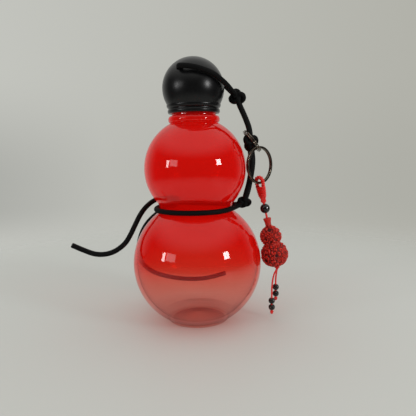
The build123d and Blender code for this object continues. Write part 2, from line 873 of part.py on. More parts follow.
# What the record and the scene need to know
print("waist height", waist_height, "waist radius", waist_radius)
print("ring bottom, ring top, neck top", ring_bottom, ring_top, neck_top)
print("finish foot, mouth", finish_foot, mouth_height)
print("cap rim, band top, seal top, plate top", cap_rim, band_top, seal_top, plate_top)
print("ball centre, top", ball_centre_height, ball_centre_height + ball_radius)
print("link point", link_point, "key ring centre", key_ring_centre)
print("charm pivot", charm_pivot, "charm down", charm_down)
print("key ring tangent", key_ring_tangent)
print("gourd lower centre", on_charm(0, gourd_distance + gourd_lower_distance))
print("stem knot", stem_knot_place)
print("waist front corners", waist_front_route)
print("waist back corners", waist_back_route)
print("charm loop corners", charm_loop_route)
print("small ring centre", small_ring_centre)
gourd_reach = Vector(*on_charm(0, gourd_distance + gourd_lower_distance))
gourd_reach -= Vector(0, 0, lower_bulb_height)
print("gap of gourd to glass", gourd_reach.length - lower_bulb_radius - gourd_lower_radius)
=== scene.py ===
import math

import bmesh
import bpy
import numpy as np
from mathutils import Matrix, Vector


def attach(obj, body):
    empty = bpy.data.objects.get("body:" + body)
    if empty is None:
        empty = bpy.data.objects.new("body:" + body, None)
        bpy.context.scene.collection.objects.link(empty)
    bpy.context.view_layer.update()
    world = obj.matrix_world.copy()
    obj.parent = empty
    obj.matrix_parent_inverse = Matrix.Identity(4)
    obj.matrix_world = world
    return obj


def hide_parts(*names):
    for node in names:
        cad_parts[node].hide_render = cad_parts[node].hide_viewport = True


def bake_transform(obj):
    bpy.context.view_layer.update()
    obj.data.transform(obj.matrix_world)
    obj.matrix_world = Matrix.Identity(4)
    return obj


bl_info = {
    "name": "Gourd bottle",
    "version": (1, 0, 0),
    "blender": (4, 5, 0),
    "location": "3D View > Sidebar > Bottle",
    "description": "Dresses the gourd-shaped glass bottle, its cap, cords, rings and charm",
    "category": "Object",
}

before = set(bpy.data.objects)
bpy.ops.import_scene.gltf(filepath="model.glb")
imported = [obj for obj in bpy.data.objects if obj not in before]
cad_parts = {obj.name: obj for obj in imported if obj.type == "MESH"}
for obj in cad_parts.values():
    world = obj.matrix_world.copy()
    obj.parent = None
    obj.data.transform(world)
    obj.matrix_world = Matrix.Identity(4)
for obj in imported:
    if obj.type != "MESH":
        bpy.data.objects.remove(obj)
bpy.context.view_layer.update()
MM = 0.001

# Places that the dressed pieces share with the solids, in millimetres
KNOTS = {
    "knot_upper": (29.8, 0.0, 155.4),
    "knot_middle": (38.4, -3.6, 124.3),
    "knot_waist": (33.2, -2.6, 83.0),
    "knot_back": (-18.0, 27.2, 81.6),
}
RING_BOTTOM = 138.311
RING_TOP = 142.911
NECK_TOP = 145.111
MOUTH = 155.911
SMALL_RING_CENTRE = (39.2, -5.0, 125.2)
SMALL_RING_TILT = math.radians(38.1)
KEY_RING_CENTRE = (44.3214, -5.0, 108.757)
KEY_RING_TURN = math.radians(41.6)
CHARM_PIVOT = (44.3214, -5.0, 96.5565)
CHARM_LEAN = math.radians(11.3)

# Routes of the black cord: the control points of its smooth line, in millimetres. Each end
# lies inside the knot that holds it, apart from the free ends of the tails.
CORD_ROUTES = {
    "cap_cord": [
        (30.4, -0.6, 155.2), (26.6, -3.2, 158.4), (22.2, -9.6, 162.5), (17.4, -16.1, 165.3),
        (13.0, -18.9, 168.3), (6.9, -21.2, 170.4), (0.4, -21.6, 172.3), (-7.7, -21.5, 173.1),
        (-9.7, -16.8, 173.2), (9.7, 16.8, 173.2), (13.4, 18.6, 171.8), (18.4, 14.4, 168.0),
        (22.4, 8.4, 164.2), (26.8, 2.6, 158.6), (30.4, 0.8, 155.0),
    ],
    "tether_upper_front": [
        (29.6, -1.6, 155.2), (30.4, -2.48, 151.0), (32.8, -3.28, 145.6), (35.1, -4.18, 139.9),
        (36.8, -4.88, 135.0), (37.5, -5.18, 131.0), (38.0, -4.9, 126.0),
    ],
    "tether_upper_back": [
        (30.2, 0.8, 155.2), (31.4, 1.28, 151.0), (33.8, 0.48, 145.6), (36.1, -0.42, 139.9),
        (37.8, -1.12, 135.0), (38.5, -1.42, 131.0), (38.9, -2.0, 126.0),
    ],
    "tether_lower_front": [
        (37.6, -5.0, 123.2), (37.75, -4.9, 118.6), (38.75, -5.0, 112.3), (38.35, -5.0, 106.0),
        (37.45, -4.9, 99.8), (36.15, -4.7, 93.8), (34.45, -4.6, 88.6), (33.4, -4.2, 84.2),
    ],
    "tether_lower_back": [
        (39.2, -2.0, 123.2), (39.65, -1.5, 118.6), (40.4, -1.4, 112.3), (39.8, -1.2, 106.0),
        (38.7, -1.0, 99.8), (37.5, -1.0, 93.8), (36.1, -1.1, 88.6), (34.4, -1.4, 84.2),
    ],
    "waist_cord_front": [
        (31.2, -4.2, 82.0), (27.9, -8.0, 80.9), (18.395, -22.716, 79.589),
        (1.53, -29.191, 79.589), (-15.92, -24.515, 79.589), (-27.289, -10.475, 79.589),
        (-28.235, 7.565, 79.589), (-20.6, 19.3, 80.3), (-18.2, 23.6, 81.0),
    ],
    "waist_cord_back": [
        (31.2, -1.4, 82.0), (28.8, 3.0, 80.9), (22.592, 18.294, 79.589),
        (8.499, 27.8, 79.589), (-10.6, 28.2, 80.3), (-15.6, 27.6, 81.0),
    ],
    "tail_left": [
        (-18.8, 26.0, 83.6), (-22.3, 23.2, 85.0), (-29.6, 14.4, 84.8), (-34.2, 4.2, 82.2),
        (-38.4, -2.4, 77.4), (-41.9, -6.0, 70.6), (-45.6, -9.0, 62.8), (-49.5, -11.0, 56.7),
        (-57.9, -12.9, 51.4), (-67.9, -14.0, 50.7), (-77.4, -14.9, 54.9), (-84.0, -15.5, 58.4),
    ],
    "tail_back": [
        (-18.6, 27.0, 79.6), (-22.9, 24.2, 77.4), (-30.6, 19.2, 73.0), (-37.9, 18.1, 66.0),
        (-43.0, 21.2, 56.0), (-45.4, 26.6, 45.6), (-44.6, 33.0, 33.4), (-38.0, 38.2, 24.6),
        (-27.4, 41.2, 19.4), (-14.6, 42.4, 16.4), (-1.2, 42.6, 15.4), (11.8, 41.6, 17.0),
        (22.4, 39.2, 20.9),
    ],
}
STRING_ROUTES = {
    "string_left": [
        (56.2, -5.3, 36.3), (55.6, -6.2, 34.8), (53.8, -6.7, 32.0), (52.6, -6.8, 26.6),
        (52.1, -6.8, 19.6), (52.1, -6.8, 4.2),
    ],
    "string_right": [
        (56.4, -4.8, 36.3), (56.4, -4.0, 34.6), (56.1, -3.4, 31.6), (55.7, -3.2, 28.4),
        (55.6, -3.2, 24.6), (55.6, -3.2, 13.0),
    ],
}
STRING_BEADS = {
    "bead_left_top": (52.1, -6.8, 12.6),
    "bead_left_low": (52.1, -6.8, 7.85),
    "bead_right_top": (55.6, -3.2, 21.4),
    "bead_right_low": (55.6, -3.2, 16.65),
}


# Colours, nodes and meshes

def linear(text):
    """Linear RGBA of an sRGB hex colour such as #C81E12."""
    shares = np.array([int(text[place:place + 2], 16) for place in (1, 3, 5)]) / 255
    low = shares / 12.92
    high = ((shares + 0.055) / 1.055) ** 2.4
    return (*np.where(shares <= 0.04045, low, high), 1.0)


def add_node(tree, kind, inputs=None, **settings):
    """A shader node of a kind, with its settings; each input is a value or the socket that
    feeds it."""
    node = tree.nodes.new("ShaderNode" + kind)
    for name, value in settings.items():
        setattr(node, name, value)
    for name, value in (inputs or {}).items():
        if isinstance(value, bpy.types.NodeSocket):
            tree.links.new(value, node.inputs[name])
        else:
            node.inputs[name].default_value = value
    return node


def new_material(name):
    """An empty node material and its tree."""
    material = bpy.data.materials.new(name)
    material.use_nodes = True
    material.node_tree.nodes.clear()
    return material, material.node_tree


def surfaced(material, shader):
    """The material with a shader node on its output."""
    add_node(material.node_tree, "OutputMaterial", {"Surface": shader.outputs[0]})
    return material


def principled(material, inputs):
    """The material with one principled surface that has these inputs."""
    return surfaced(material, add_node(material.node_tree, "BsdfPrincipled", inputs))


def calculate(tree, operation, *values, clamp=False):
    """Result of an operation on numbers or sockets."""
    node = add_node(
        tree, "Math", dict(enumerate(values)), operation=operation, use_clamp=clamp
    )
    return node.outputs["Value"]


def remap(tree, value, start, end, low=0.0, high=1.0, smooth=False):
    """A value moved from the range start to end into low to high, and held at its ends."""
    node = add_node(tree, "MapRange", {
        "Value": value, "From Min": start, "From Max": end, "To Min": low, "To Max": high,
    }, interpolation_type="SMOOTHSTEP" if smooth else "LINEAR")
    return node.outputs["Result"]


def mix_colours(tree, share, first, second, blend_type="MIX"):
    """Colour between two, each a hex colour or the socket that feeds it."""
    first, second = (linear(end) if isinstance(end, str) else end for end in (first, second))
    node = add_node(tree, "Mix", {
        "Factor": share, "A": first, "B": second,
    }, data_type="RGBA", blend_type=blend_type)
    return node.outputs["Result"]


def mix_shaders(tree, share, first, second):
    """Shader node between two others."""
    return add_node(tree, "MixShader", {
        "Fac": share, 1: first.outputs[0], 2: second.outputs[0],
    })


def noise(tree, scale, detail=2.0, roughness=0.5, place=None):
    """Soft noise over the piece, with scale features to the metre."""
    if place is None:
        place = add_node(tree, "TexCoord").outputs["Object"]
    node = add_node(tree, "TexNoise", {
        "Vector": place, "Scale": scale, "Detail": detail, "Roughness": roughness,
    })
    return node.outputs["Fac"]


def bump(tree, height, strength, depth):
    """Normals of a surface on which a height of 1 stands depth millimetres up."""
    node = add_node(tree, "Bump", {
        "Height": height, "Strength": strength, "Distance": depth * MM,
    })
    return node.outputs["Normal"]


def facing(tree, blend):
    """How far the surface is turned from the eye, from 0 to 1."""
    return add_node(tree, "LayerWeight", {"Blend": blend}).outputs["Facing"]


def placed(name, data):
    """A new object in the scene."""
    piece = bpy.data.objects.new(name, data)
    bpy.context.scene.collection.objects.link(piece)
    return piece


def skin(name, grid, material, loop_rows=False, cap=True, uv_size=(1.0, 1.0)):
    """Mesh object over a grid of points whose columns close into rings.

    The last ring joins the first with loop_rows, as on a torus; otherwise cap adds a
    centre point to the first and the last ring, which closes the form. The UV map runs
    round the ring in u and along the rings in v, times uv_size."""
    rows, columns = grid.shape[:2]
    index = np.arange(rows * columns).reshape(rows, columns)
    low = index if loop_rows else index[:-1]
    high = np.roll(index, -1, axis=0) if loop_rows else index[1:]
    quads = np.stack(
        [low, np.roll(low, -1, axis=1), np.roll(high, -1, axis=1), high], axis=-1
    ).reshape(-1, 4)
    steps = np.arange(len(low))
    around = np.arange(columns)
    u = np.stack([around, around + 1, around + 1, around], axis=-1) / columns
    v = np.stack([steps, steps, steps + 1, steps + 1], axis=-1) / max(len(low), 1)
    uv = np.empty((len(low), columns, 4, 2))
    uv[..., 0] = u[None]
    uv[..., 1] = v[:, None]
    points = grid.reshape(-1, 3)
    faces = quads.tolist()
    uvs = [uv.reshape(-1, 2)]
    if cap and not loop_rows:
        # Each end is a fan of triangles round its centre, turned to face outwards
        for end, turn in ((0, 1), (-1, 0)):
            here, there = np.roll(index[end], -turn), np.roll(index[end], turn - 1)
            centre = np.full(columns, len(points))
            points = np.vstack([points, grid[end].mean(axis=0)])
            faces += np.stack([here, there, centre], axis=-1).tolist()
            fan = np.stack([around + turn, around + 1 - turn, around + 0.5], axis=-1) / columns
            uvs.append(np.stack([fan, np.full_like(fan, 1.0 - turn)], axis=-1).reshape(-1, 2))
    mesh = bpy.data.meshes.new(name)
    mesh.from_pydata((points * MM).tolist(), [], faces)
    layer = mesh.uv_layers.new(name="surface")
    layer.data.foreach_set("uv", (np.vstack(uvs) * np.array(uv_size)).ravel())
    mesh.shade_smooth()
    mesh.materials.append(material)
    return placed(name, mesh)


def joined(name, pieces):
    """One object out of several, with their materials and UV maps kept."""
    bpy.ops.object.select_all(action="DESELECT")
    for piece in pieces:
        piece.select_set(True)
    bpy.context.view_layer.objects.active = pieces[0]
    bpy.ops.object.join()
    whole = pieces[0]
    whole.name = name
    whole.data.name = name
    return whole


def settle(piece, body, slot, *nodes):
    """Hang a piece on the body that it rides on, and hide the parts that it stands for. slot is not used."""
    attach(piece, body)
    if nodes:
        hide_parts(*nodes)
    return piece


def settings():
    """The sizes and colours that the panel shows."""
    return bpy.context.scene.gourd_bottle


# Lines and tubes

def spline_line(route):
    """Points of the smooth NURBS line that has the route's points as control points."""
    curve = bpy.data.curves.new("route", "CURVE")
    curve.dimensions = "3D"
    curve.resolution_u = 16
    spline = curve.splines.new("NURBS")
    spline.points.add(len(route) - 1)
    spline.points.foreach_set("co", np.c_[np.array(route) * MM, np.ones(len(route))].ravel())
    spline.order_u = 3
    spline.use_endpoint_u = True
    holder = placed("route", curve)
    mesh = bpy.data.meshes.new_from_object(holder)
    line = np.empty(len(mesh.vertices) * 3)
    mesh.vertices.foreach_get("co", line)
    bpy.data.objects.remove(holder)
    bpy.data.curves.remove(curve)
    bpy.data.meshes.remove(mesh)
    return line.reshape(-1, 3) / MM


def even(line, step):
    """The line's points again, evenly spaced along its length by about step."""
    reach = np.r_[0, np.cumsum(np.linalg.norm(np.diff(line, axis=0), axis=1))]
    places = np.linspace(0, reach[-1], max(int(reach[-1] / step), 8) + 1)
    return np.stack([np.interp(places, reach, line[:, axis]) for axis in range(3)], axis=1)


def full_turn(count):
    """Angles evenly round a full turn."""
    return np.linspace(0, 2 * np.pi, count, endpoint=False)


def unit(vectors):
    """Each vector at length one."""
    return vectors / np.linalg.norm(vectors, axis=-1, keepdims=True)


def span(line):
    """Length of a line."""
    return np.linalg.norm(np.diff(line, axis=0), axis=1).sum()


def across(line, closed=False, normal=None):
    """Two directions square to a line: a sideways one, and one near the normal given, or
    near the flat normal of the whole line."""
    if closed:
        tangent = unit(np.roll(line, -1, axis=0) - np.roll(line, 1, axis=0))
    else:
        tangent = unit(np.gradient(line, axis=0))
    if normal is None:
        normal = np.linalg.svd(tangent)[2][2]
    up = unit(normal - tangent * (tangent @ normal)[:, None])
    return np.cross(up, tangent), up


def bearing(angle, side, up):
    """Directions at angles about a line, from its side towards up."""
    return np.cos(angle)[:, None] * side + np.sin(angle)[:, None] * up


def tube_grid(line, side, up, radius):
    """Rings round a line: the centre plus radius times cosine of the angle to the side and
    sine of the angle up. Radius is an array of rings by angles."""
    angle = full_turn(radius.shape[1])
    ring = np.cos(angle)[None, :, None] * side[:, None] + np.sin(angle)[None, :, None] * up[:, None]
    return line[:, None] + radius[..., None] * ring


def tube(name, line, sides, radius, material, closed=False, columns=12):
    """Tube along a line, of one radius or of an array of rings by angles. sides holds the
    two directions square to the line."""
    if np.isscalar(radius):
        radius = np.full((len(line), columns), radius)
    return skin(name, tube_grid(line, *sides, radius), material, loop_rows=closed)


def coiled(name, coil, out, radius, material):
    """A fine cord along a coil, whose outward directions are given."""
    second = np.cross(unit(np.gradient(coil, axis=0)), out)
    ring = np.full((len(coil), 12), radius)
    return skin(name, tube_grid(coil, out, second, ring)[:, ::-1], material)


def braid_radius(length, rings, columns, radius, ribs, pitch, depth):
    """Radius over a braided cord: strands wind both ways, and each crossing is a small
    bump, the product of the two windings' cosines."""
    angle = full_turn(columns)[None]
    turn = 2 * np.pi * np.linspace(0, length, rings)[:, None] / pitch
    bump = np.abs(np.cos(ribs / 2 * (angle + turn)) * np.cos(ribs / 2 * (angle - turn)))
    return radius * (1 - depth * (1 - bump))


def braided(name, line, radius, material, closed=False, normal=None):
    """Braided cord as a mesh along a line, its cut ends a little rounded over. Ten ribs
    wind each way, once round in about 14 mm."""
    side, up = across(line, closed, normal)
    length = span(line)
    turns = max(round(length / 14.0), 1)
    profile = braid_radius(length, len(line), 32, radius, 10, length / turns, 0.085)
    if not closed:
        place = np.linspace(0, length, len(line))
        from_end = np.minimum(place, length - place)[:, None]
        profile = profile * np.sqrt(1 - 0.22 * np.clip(1 - from_end / 0.9, 0, 1) ** 2)
    grid = tube_grid(line, side, up, profile)
    return skin(name, grid, material, loop_rows=closed, uv_size=(1.0, length * MM))


def trefoil(centre, facing, turn, size, spread=1.35):
    """Line of a pulled knot with three lobes: round a ring twice while it goes round the
    ring's own tube three times. facing is the way the lobes face, turn is the angle of the
    first lobe in degrees, and size is the knot's width, height and depth."""
    turn = math.radians(turn)
    share = full_turn(240)
    ring = spread + np.cos(3 * share)
    flat = np.stack([
        ring * np.cos(2 * share + turn),
        ring * np.sin(2 * share + turn),
        np.sin(3 * share),
    ], axis=1) * np.array(size)
    facing = unit(np.array(facing, float))
    right = unit(np.cross((0, 0, 1.0), facing))
    up = np.cross(facing, right)
    return np.array(centre) + flat @ np.stack([right, up, facing]), facing


def small_knot(name, centre, facing, turn, radius, columns, material):
    """Pulled knot of the red cord: its lobes are sized by the cord's radius."""
    line, facing = trefoil(centre, facing, turn, (radius, radius, radius))
    return tube(name, line, across(line, True, facing), radius, material, True, columns)


# Materials

def braided_black_polyester():
    """Braided polyester cord: matt, with a faint sheen on the crowns of its strands."""
    material, tree = new_material("braided_black_polyester")
    place = add_node(tree, "UVMap", uv_map="surface")
    # Fibres: forty round the cord, and five to the millimetre along it
    grain = add_node(tree, "Mapping", {
        "Vector": place.outputs["UV"], "Scale": (40.0, 5000.0, 1.0),
    })
    fibre = noise(tree, 1.0, 3.0, 0.6, grain.outputs["Vector"])
    return principled(material, {
        "Base Color": mix_colours(tree, fibre, settings().cord, "#050505"), "Roughness": 0.7,
        "Normal": bump(tree, fibre, 0.35, 0.2), "Specular IOR Level": 0.15,
    })


def clear_soda_glass():
    """Clear soda-lime glass: the inner face of the wall, a faint mirror that lets nearly
    everything through."""
    material, tree = new_material("clear_soda_glass")
    # Seen nearly edge on, the wall gathers the colour of the lacquer into thin dark outlines
    grazing = calculate(tree, "POWER", facing(tree, 0.5), 7.0)
    passed = mix_colours(tree, grazing, "#FBFAF8", "#9C4A40")
    clear = add_node(tree, "BsdfTransparent", {"Color": passed})
    shine = add_node(tree, "BsdfGlossy", {"Roughness": 0.05})
    mirror = calculate(tree, "MULTIPLY_ADD", facing(tree, 0.12), 0.12, 0.02)
    return surfaced(material, mix_shaders(tree, mirror, clear, shine))


# Strength of the lacquer at heights of the bottle, in millimetres: it is sprayed on in full
# above the middle of the lower bulb and thins to a pink wash on the base
LACQUER_STRENGTH = (
    (0.0, 0.02), (15.0, 0.17), (27.0, 0.26), (34.0, 0.31), (38.0, 0.37), (42.0, 0.47),
    (46.0, 0.67), (51.0, 0.95), (56.0, 1.0),
)
LACQUER_TOP = 60.0


def red_lacquered_glass():
    """Blown glass lacquered red on its inside. The wall's refraction carries the lacquer's
    colour out to the very edge of the bottle, so it is drawn on the outer face: part of the
    light passes and is tinted, part comes back red from the pigment, and the glass over it
    mirrors the room at grazing angles."""
    material, tree = new_material("red_lacquered_glass")
    own = settings()
    place = add_node(tree, "TexCoord").outputs["Object"]
    height = add_node(tree, "SeparateXYZ", {"Vector": place}).outputs["Z"]
    cloud = noise(tree, 22.0, 2.0, 0.45, place)
    level = remap(
        tree, calculate(tree, "MULTIPLY_ADD", cloud, 4 * MM, height), 0.0, LACQUER_TOP * MM
    )
    fade = add_node(tree, "ValToRGB", {"Fac": level})
    stops = fade.color_ramp.elements
    light = np.array(linear(own.lacquer_light)[:3])
    while len(stops) < len(LACQUER_STRENGTH):
        stops.new(0.5)
    for stop, (place_mm, strength) in zip(stops, LACQUER_STRENGTH):
        stop.position = place_mm / LACQUER_TOP
        # Light that passes falls off as a power of the lacquer's thickness, and the share
        # that its pigment sends back grows with it
        stop.color = (*light ** strength, own.lacquer_cover * strength)
    once, share = fade.outputs["Color"], fade.outputs["Alpha"]
    turned_away = facing(tree, 0.5)
    thick = calculate(tree, "MULTIPLY_ADD", turned_away, 0.7, 0.9)
    cover = calculate(tree, "MULTIPLY", thick, share, clamp=True)
    # Light that crosses the wall at a slant passes through more of the lacquer
    twice = mix_colours(tree, 1.0, once, once, "MULTIPLY")
    thrice = mix_colours(tree, 1.0, twice, once, "MULTIPLY")
    dense = calculate(tree, "POWER", calculate(tree, "MULTIPLY", share, 2.2), 3.0)
    slant = calculate(tree, "MULTIPLY", turned_away, dense, clamp=True)
    passed = mix_colours(tree, slant, once, thrice)
    # The thick base glass shows its rounded edge as a thin dark line
    base = remap(tree, height, 11 * MM, 4 * MM)
    steep = calculate(tree, "POWER", turned_away, 3.0)
    line = calculate(tree, "MULTIPLY", base, steep, clamp=True)
    passed = mix_colours(tree, line, passed, "#8E3A30")
    through = add_node(tree, "BsdfTransparent", {"Color": passed})
    front = add_node(tree, "BsdfDiffuse", {"Color": linear(own.lacquer)})
    glow = add_node(tree, "BsdfTranslucent", {"Color": linear(own.lacquer)})
    coloured = mix_shaders(tree, cover, through, mix_shaders(tree, 0.5, front, glow))
    # Only the face towards the room mirrors it; from inside the wall nothing is turned back
    behind = add_node(tree, "NewGeometry").outputs["Backfacing"]
    fresnel = add_node(tree, "Fresnel", {"IOR": 1.5}).outputs["Fac"]
    mirror = calculate(tree, "MULTIPLY", fresnel, calculate(tree, "SUBTRACT", 1.0, behind))
    shine = add_node(tree, "BsdfGlossy", {"Roughness": 0.03})
    return surfaced(material, mix_shaders(tree, mirror, coloured, shine))


def moulded_black_plastic():
    """Black moulded plastic with a satin skin: soft highlights over a fine spark texture."""
    material, tree = new_material("moulded_black_plastic")
    # The skin's grain is half a millimetre across
    grain = noise(tree, 2000.0)
    wear = noise(tree, 60.0, 4.0, 0.6)
    return principled(material, {
        "Base Color": linear(settings().cap), "Roughness": remap(tree, wear, 0, 1, 0.24, 0.34),
        "Normal": bump(tree, grain, 0.12, 0.1), "Specular IOR Level": 0.32,
    })


def silicone():
    """Translucent silicone rubber: milky and soft, for the seal in the cap."""
    material, tree = new_material("silicone")
    return principled(material, {
        "Base Color": mix_colours(tree, noise(tree, 300.0), "#D9D8D0", "#E6E5DE"),
        "Roughness": 0.5, "Subsurface Weight": 0.1,
    })


def nickel_plated_steel():
    """Nickel plated spring steel, tumbled: a warm mirror with a fine uneven polish."""
    material, tree = new_material("nickel_plated_steel")
    polish = noise(tree, 900.0, 3.0, 0.65)
    return principled(material, {
        "Base Color": mix_colours(tree, polish, "#5A5146", "#867D70"),
        "Metallic": 1.0, "Roughness": remap(tree, polish, 0, 1, 0.14, 0.3),
    })


def polished_black_bead(name, pit_strength):
    """Polished black bead: a bright point highlight over a faintly pitted surface."""
    material, tree = new_material(name)
    place = add_node(tree, "TexCoord").outputs["Object"]
    pits = add_node(tree, "TexVoronoi", {"Vector": place, "Scale": 900.0})
    return principled(material, {
        "Base Color": linear("#0C0B0C"), "Roughness": 0.16,
        "Normal": bump(tree, pits.outputs["Distance"], pit_strength, 0.2),
    })


def waxed_red_cord():
    """Waxed red nylon cord, twisted: bright red with darker fibres and a waxy sheen."""
    material, tree = new_material("waxed_red_cord")
    fibre = noise(tree, 2600.0)
    own = settings()
    return principled(material, {
        "Base Color": mix_colours(tree, fibre, own.red_cord_dark, own.red_cord),
        "Roughness": 0.4, "Normal": bump(tree, fibre, 0.3, 0.1),
    })


def carved_lacquer():
    """Carved red lacquer: satin crowns, with painted shade that darkens the carving from its crowns down
    into its recesses.
    """
    material, tree = new_material("carved_lacquer")
    height = add_node(tree, "Attribute", attribute_name="carving").outputs["Fac"]
    mottle = noise(tree, 700.0, 3.0)
    # Painted shade: the carving's height runs the colour from near black red in the recesses to bright red
    # on the crowns
    shade = add_node(tree, "ValToRGB", {
        "Fac": calculate(tree, "MULTIPLY_ADD", mottle, 0.3, height),
    })
    stops = shade.color_ramp.elements
    stops.new(0.6)
    for stop, place, colour in zip(stops, (0.25, 0.6, 1.0), ("#3A0403", "#9C160B", "#B92010")):
        stop.position = place
        stop.color = linear(colour)
    return principled(material, {
        "Base Color": shade.outputs["Color"], "Roughness": 0.42,
        "Normal": bump(tree, mottle, 0.25, 0.2), "Specular IOR Level": 0.3,
    })


# Sizes and colours that a user would change

class GourdBottleSettings(bpy.types.PropertyGroup):
    cord_radius: bpy.props.FloatProperty(
        name="Cord radius", description="Half the thickness of the black cord",
        default=1.8 * MM, min=0.5 * MM, max=4 * MM, unit="LENGTH", subtype="DISTANCE",
    )
    lacquer: bpy.props.StringProperty(
        name="Lacquer", description="Colour that the red lacquer sends back", default="#F61A12",
    )
    lacquer_light: bpy.props.StringProperty(
        name="Lacquer light", description="Colour of light that passes the lacquer once",
        default="#FD5945",
    )
    lacquer_cover: bpy.props.FloatProperty(
        name="Lacquer cover", description="Share of light that full lacquer sends back",
        default=0.4, min=0.0, max=1.0, subtype="FACTOR",
    )
    cap: bpy.props.StringProperty(
        name="Cap", description="Colour of the cap's plastic", default="#080809",
    )
    cord: bpy.props.StringProperty(
        name="Cord", description="Colour of the black cord", default="#020202",
    )
    red_cord: bpy.props.StringProperty(
        name="Red cord", description="Colour of the charm's cord", default="#E81A10",
    )
    red_cord_dark: bpy.props.StringProperty(
        name="Red cord, dark", description="Colour of the red cord's darker fibres",
        default="#A80D08",
    )
    background_left: bpy.props.StringProperty(
        name="Backdrop left", description="Colour of the studio at the left of the bottle",
        default="#C3C4BE",
    )
    background_right: bpy.props.StringProperty(
        name="Backdrop right", description="Colour of the studio at the right of the bottle",
        default="#B2B2AA",
    )


# The stage

CAMERA_PLACE = (0.0, -307.005, 118.009)
CAMERA_PITCH = math.radians(7.192)
CAMERA_YAW = math.radians(1.555)
CAMERA_ROLL = math.radians(1.208)
CAMERA_LENS = 438.811 / 416 * 36

# Name, azimuth and elevation in degrees, size in metres and watts of each soft window
WINDOWS = (
    ("window_left", -152, 12, (0.10, 0.24), 1.15),
    ("window_left_wide", -138, 14, (0.30, 0.22), 0.6),
    ("window_right", -37, 14, (0.18, 0.20), 2.9),
)
FLOOR_REACH = 3000.0


class STAGE_OT_studio(bpy.types.Operator):
    """Camera at the photograph's angle, pale floor, soft windows and a pale room"""
    bl_idname = "bottle.studio"
    bl_label = "Studio"

    def execute(self, context):
        scene = context.scene
        scene.view_settings.view_transform = "Standard"
        self.place_camera(scene)
        for window in WINDOWS:
            self.hang_window(*window)
        self.paint_room(scene)
        self.lay_floor()
        return {"FINISHED"}

    def place_camera(self, scene):
        """The photograph's camera, turned by its pitch, yaw and roll."""
        forward = Vector((
            math.sin(CAMERA_YAW) * math.cos(CAMERA_PITCH),
            math.cos(CAMERA_YAW) * math.cos(CAMERA_PITCH),
            -math.sin(CAMERA_PITCH),
        ))
        level = Vector((math.cos(CAMERA_YAW), -math.sin(CAMERA_YAW), 0))
        up = level.cross(forward)
        right = level * math.cos(CAMERA_ROLL) - up * math.sin(CAMERA_ROLL)
        up = level * math.sin(CAMERA_ROLL) + up * math.cos(CAMERA_ROLL)
        data = bpy.data.cameras.new("camera")
        data.lens = CAMERA_LENS
        data.sensor_width = 36
        scene.camera = placed("camera", data)
        turn = Matrix((right, up, -forward)).transposed()
        scene.camera.matrix_world = (
            Matrix.Translation(Vector(CAMERA_PLACE) * MM) @ turn.to_4x4()
        )

    def hang_window(self, name, azimuth, elevation, size, watts):
        """A soft window one metre from the middle of the bottle, and turned to it."""
        lamp = bpy.data.lights.new(name, "AREA")
        lamp.shape = "RECTANGLE"
        lamp.size, lamp.size_y = size
        lamp.energy = watts
        lamp.color = (1.0, 1.0, 1.0)
        holder = placed(name, lamp)
        angle, rise = math.radians(azimuth), math.radians(elevation)
        away = Vector((
            math.cos(angle) * math.cos(rise), math.sin(angle) * math.cos(rise), math.sin(rise),
        ))
        holder.location = Vector((0, 0, 0.09)) + away
        holder.rotation_euler = away.to_track_quat("Z", "Y").to_euler()

    def paint_room(self, scene):
        """The camera sees a plain pale backdrop, a little lighter at the left. Reflections
        see that backdrop behind the bottle and a dimmer room in front of it. All else is
        lit evenly from every side."""
        world = bpy.data.worlds.new("room")
        world.use_nodes = True
        scene.world = world
        tree = world.node_tree
        tree.nodes.clear()
        own = settings()
        direction = add_node(tree, "TexCoord").outputs["Generated"]
        parts = add_node(tree, "SeparateXYZ", {"Vector": direction}).outputs
        x, y, z = parts["X"], parts["Y"], parts["Z"]
        backdrop = mix_colours(
            tree, remap(tree, x, -0.42, 0.42), own.background_left, own.background_right
        )
        # A soft shade lies over the lower backdrop, mostly at the far left
        fall = remap(tree, z, 0.18, -0.06, smooth=True)
        rise = remap(tree, z, -0.2, -0.1, smooth=True)
        depth = remap(tree, x, -0.42, -0.2, 0.24, 0.05)
        shade = calculate(tree, "MULTIPLY", calculate(tree, "MULTIPLY", fall, rise), depth)
        backdrop = mix_colours(tree, shade, backdrop, "#000000")
        behind = remap(tree, y, 0.1, 0.8, smooth=True)
        mirrored = mix_colours(tree, behind, "#3C3C3B", "#C4C5C0")
        # The ceiling is brighter than the walls and lies as a soft sheen on each shoulder
        above = remap(tree, z, 0.35, 0.8, smooth=True)
        mirrored = mix_colours(tree, above, mirrored, "#E8E8E4")
        room, dim, back = (
            add_node(tree, "Background", {"Color": colour, "Strength": strength})
            for colour, strength in ((linear("#FFFFFD"), 0.9), (mirrored, 1.0), (backdrop, 1.0))
        )
        path = add_node(tree, "LightPath").outputs
        lit = mix_shaders(tree, path["Is Glossy Ray"], room, dim)
        seen = calculate(
            tree, "ADD", path["Is Camera Ray"], path["Is Transmission Ray"], clamp=True
        )
        mixed = mix_shaders(tree, seen, lit, back)
        add_node(tree, "OutputWorld", {"Surface": mixed.outputs[0]})

    def lay_floor(self):
        """A pale floor that fades out round the bottle, so that the backdrop meets it."""
        material, tree = new_material("pale_floor")
        place = add_node(tree, "TexCoord").outputs["Object"]
        distance = add_node(tree, "VectorMath", {0: place}, operation="LENGTH")
        far = remap(tree, distance.outputs["Value"], 0.16, 0.5, smooth=True)
        near = add_node(tree, "BsdfPrincipled", {
            "Base Color": linear("#BCBEB9"), "Roughness": 0.5, "Specular IOR Level": 0.1,
        })
        surfaced(material, mix_shaders(tree, far, near, add_node(tree, "BsdfTransparent")))
        corners = np.array([[-1, -1, 0], [1, -1, 0], [1, 1, 0], [-1, 1, 0]]) * FLOOR_REACH
        mesh = bpy.data.meshes.new("floor")
        mesh.from_pydata((corners * MM).tolist(), [], [(0, 1, 2, 3)])
        mesh.materials.append(material)
        floor = placed("floor", mesh)
        floor.location.z = 0.0


# The black cord

